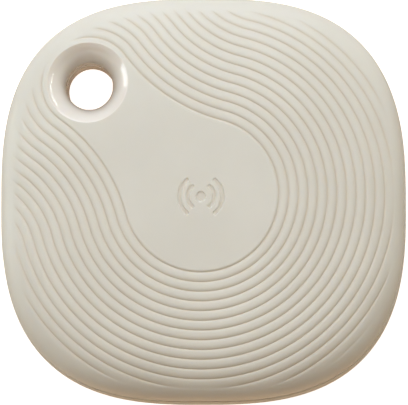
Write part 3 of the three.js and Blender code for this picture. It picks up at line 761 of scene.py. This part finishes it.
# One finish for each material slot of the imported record.
finishes = {
    "seal": {"toneA": (0.60, 0.58, 0.53), "toneB": (0.68, 0.66, 0.61), "rough": (0.6, 0.8),
             "grain": 5000.0, "patch": 300.0, "bump": 0.3},
    "frame_plastic": {"toneA": (0.018, 0.018, 0.02), "toneB": (0.035, 0.035, 0.038),
                      "rough": (0.4, 0.65), "grain": 6000.0, "patch": 400.0, "bump": 0.35},
    "board": {"toneA": (0.012, 0.10, 0.05), "toneB": (0.03, 0.16, 0.085), "rough": (0.25, 0.4),
              "grain": 3000.0, "patch": 700.0, "bump": 0.2},
    "chip": {"toneA": (0.012, 0.012, 0.014), "toneB": (0.028, 0.028, 0.03), "rough": (0.4, 0.6),
             "grain": 9000.0, "patch": 500.0, "bump": 0.4},
    "ceramic": {"toneA": (0.70, 0.67, 0.60), "toneB": (0.80, 0.78, 0.72), "rough": (0.3, 0.45),
                "grain": 6000.0, "patch": 600.0, "bump": 0.2},
    "capacitor": {"toneA": (0.30, 0.18, 0.10), "toneB": (0.42, 0.28, 0.17), "rough": (0.3, 0.5),
                  "grain": 7000.0, "patch": 900.0, "bump": 0.25},
    "steel": {"toneA": (0.60, 0.60, 0.61), "toneB": (0.74, 0.74, 0.75), "rough": (0.22, 0.42),
              "grain": 4000.0, "patch": 300.0, "bump": 0.12, "metallic": 1.0},
    "cell_cap": {"toneA": (0.62, 0.62, 0.63), "toneB": (0.76, 0.76, 0.77), "rough": (0.25, 0.4),
                 "grain": 5000.0, "patch": 200.0, "bump": 0.15, "metallic": 1.0},
    "contact_gold": {"toneA": (0.76, 0.52, 0.20), "toneB": (0.88, 0.66, 0.30), "rough": (0.2, 0.38),
                     "grain": 5000.0, "patch": 500.0, "bump": 0.12, "metallic": 1.0},
    "sounder_brass": {"toneA": (0.66, 0.46, 0.18), "toneB": (0.80, 0.60, 0.28), "rough": (0.25, 0.45),
                      "grain": 4500.0, "patch": 250.0, "bump": 0.15, "metallic": 1.0},
    "gasket": {"toneA": (0.22, 0.22, 0.24), "toneB": (0.30, 0.30, 0.32), "rough": (0.5, 0.7),
               "grain": 6000.0, "patch": 400.0, "bump": 0.2},
}
materials = {slot: grainMaterial(slot, look) for slot, look in finishes.items()}
slotOf = {part["node"]: part["material_slot"] for part in frame["record"]["subparts"]}
finished = [node for node in frame["nodes"] if slotOf[node] in materials]
for node in finished:
    looks = frame["nodes"][node].data.materials
    looks.clear()
    looks.append(materials[slotOf[node]])
print("finishes placed on", len(finished), "packed nodes")

switchDome = {
    "thickness": 0.08,
    "rings": 13,
    "columns": 48,
    "spare": 0.01,                 # left under the plunger at full press
}


# Snap dome: the height falls off with the square of the radius, the same above and below.
def domeGrid():
    low, high = boxMm("switch_dome")
    share = np.linspace(0, 1, switchDome["rings"])
    radius = np.maximum(high[0] * share, 1e-5)
    skin = high[2] - (high[2] - low[2] - switchDome["thickness"]) * share ** 2
    above = np.stack([radius, skin], -1)
    below = np.stack([radius, skin - switchDome["thickness"]], -1)[::-1]
    return turnedGrid(np.concatenate([above, below]), (0, 0), switchDome["columns"])


# The snap dome keeps the one shape it is built in and rides with the electronics.
dome = meshFromGrids("snap_dome", [(domeGrid(), False)])
dome.data.materials.append(materials[slotOf["switch_dome"]])
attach(dome, "electronics")
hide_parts("switch_dome")
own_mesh(dome)
print("snap dome made")

studio = {
    "target": (0.0, 0.0, case["top"] / 2),
    "away": 300.0,
    "tilt": (2.15, -6.0),          # degrees the view leans right and down from straight above
    "lens": 275.4,
    "shift": (0.00275, -0.00596),
    "world": (0.66, 0.36, 0.14),
    "worldStrength": 0.22,
    "floor": 600.0,                # half the floor's side
    "floorDrop": 0.01,             # floor lies this far under the back
    "floorTone": (0.74, 0.62, 0.51),
    "floorRough": 0.9,
    "floorGlow": 0.95,             # only as seen, so that it doesn't light the tag
}


# Light panels: place, size and power. Each faces the middle of the tag.
lights = [
    ("overhead", (-10, 120, 235), (240, 240), 0.395, (0.88, 0.95, 1.0)),
    ("top_panel", (-10, 225, 130), (220, 160), 0.25, (0.76, 0.83, 1.0)),
    ("left_panel", (-240, 30, 60), (150, 110), 0.22, (0.87, 0.97, 1.0)),
    ("front_panel", (0, -45, 320), (90, 90), 0.172, (1.0, 0.91, 0.80)),
    ("right_strip", (200, 125, 95), (9, 270), 0.15, (0.92, 1.0, 0.96)),
    ("under_panel", (0, -150, -180), (240, 200), 0.26, (1.0, 0.74, 0.5)),
]


def aim(piece, place, target, up=(0, 1, 0)):
    back = (Vector(place) - Vector(target)).normalized()
    right = Vector(up).cross(back).normalized()
    turned = Matrix((right, back.cross(right), back)).transposed().to_4x4()
    piece.matrix_world = Matrix.Translation(Vector(place)) @ turned


def addLights():
    for name, place, size, watts, tone in lights:
        data = bpy.data.lights.new(name, "AREA")
        data.shape = "RECTANGLE"
        data.size, data.size_y = (edge * mm for edge in size)
        data.energy = watts
        data.color = tone
        lamp = bpy.data.objects.new(name, data)
        bpy.context.scene.collection.objects.link(lamp)
        aim(lamp, Vector(place) * mm, Vector(studio["target"]) * mm, up=(0, 1, 0.01))
    world = bpy.data.worlds.new("studio")
    world.use_nodes = True
    # warm to the tag, plain white to look at
    nodes, links = world.node_tree.nodes, world.node_tree.links
    sky, out = nodes["Background"], nodes["World Output"]
    sky.inputs["Color"].default_value = (*studio["world"], 1)
    sky.inputs["Strength"].default_value = studio["worldStrength"]
    plain, path, pick = (nodes.new(kind) for kind in (
        "ShaderNodeBackground", "ShaderNodeLightPath", "ShaderNodeMixShader"))
    plain.inputs["Color"].default_value = (1, 1, 1, 1)
    links.new(path.outputs["Is Camera Ray"], pick.inputs["Fac"])
    links.new(sky.outputs["Background"], pick.inputs[1])
    links.new(plain.outputs["Background"], pick.inputs[2])
    links.new(pick.outputs["Shader"], out.inputs["Surface"])
    bpy.context.scene.world = world


# Pale floor: white to look at and a warmer pale tone in what it bounces. It is clear from below
# and to shadow rays, so the under panel lights the back and gives the low rim its warm edge.
def addFloor():
    size = studio["floor"] * mm
    corners = [(-size, -size, 0), (size, -size, 0), (size, size, 0), (-size, size, 0)]
    data = bpy.data.meshes.new("floor")
    data.from_pydata(corners, [], [(0, 1, 2, 3)])
    floor = bpy.data.objects.new("floor", data)
    floor.location.z = -studio["floorDrop"] * mm
    bpy.context.scene.collection.objects.link(floor)
    material = bpy.data.materials.new("floor_white")
    material.use_nodes = True
    nodes, links = material.node_tree.nodes, material.node_tree.links
    shader, path = nodes["Principled BSDF"], nodes.new("ShaderNodeLightPath")
    shader.inputs["Base Color"].default_value = (*studio["floorTone"], 1)
    shader.inputs["Roughness"].default_value = studio["floorRough"]
    shader.inputs["Emission Color"].default_value = (1, 1, 1, 1)
    glow, side, clear, solid = (nodes.new(kind) for kind in (
        "ShaderNodeMath", "ShaderNodeNewGeometry", "ShaderNodeMath", "ShaderNodeMath"))
    glow.operation = "MULTIPLY"
    glow.inputs[1].default_value = studio["floorGlow"]
    clear.operation = "MAXIMUM"
    solid.operation = "SUBTRACT"
    solid.inputs[0].default_value = 1.0
    links.new(path.outputs["Is Camera Ray"], glow.inputs[0])
    links.new(glow.outputs[0], shader.inputs["Emission Strength"])
    links.new(side.outputs["Backfacing"], clear.inputs[0])
    links.new(path.outputs["Is Shadow Ray"], clear.inputs[1])
    links.new(clear.outputs[0], solid.inputs[1])
    links.new(solid.outputs[0], shader.inputs["Alpha"])
    data.materials.append(material)


def addCamera():
    s = studio
    leanX, leanY = (math.tan(math.radians(degrees)) for degrees in s["tilt"])
    back = Vector((leanX, leanY, 1)).normalized()
    data = bpy.data.cameras.new("camera")
    data.lens = s["lens"]
    data.sensor_width = 36
    data.shift_x, data.shift_y = s["shift"]
    data.clip_start = 0.01
    camera = bpy.data.objects.new("camera", data)
    bpy.context.scene.collection.objects.link(camera)
    target = Vector(s["target"]) * mm
    aim(camera, target + back * s["away"] * mm, target)
    bpy.context.scene.camera = camera


addFloor()
addLights()
addCamera()
bpy.context.scene.view_settings.view_transform = "Standard"
print("studio set")
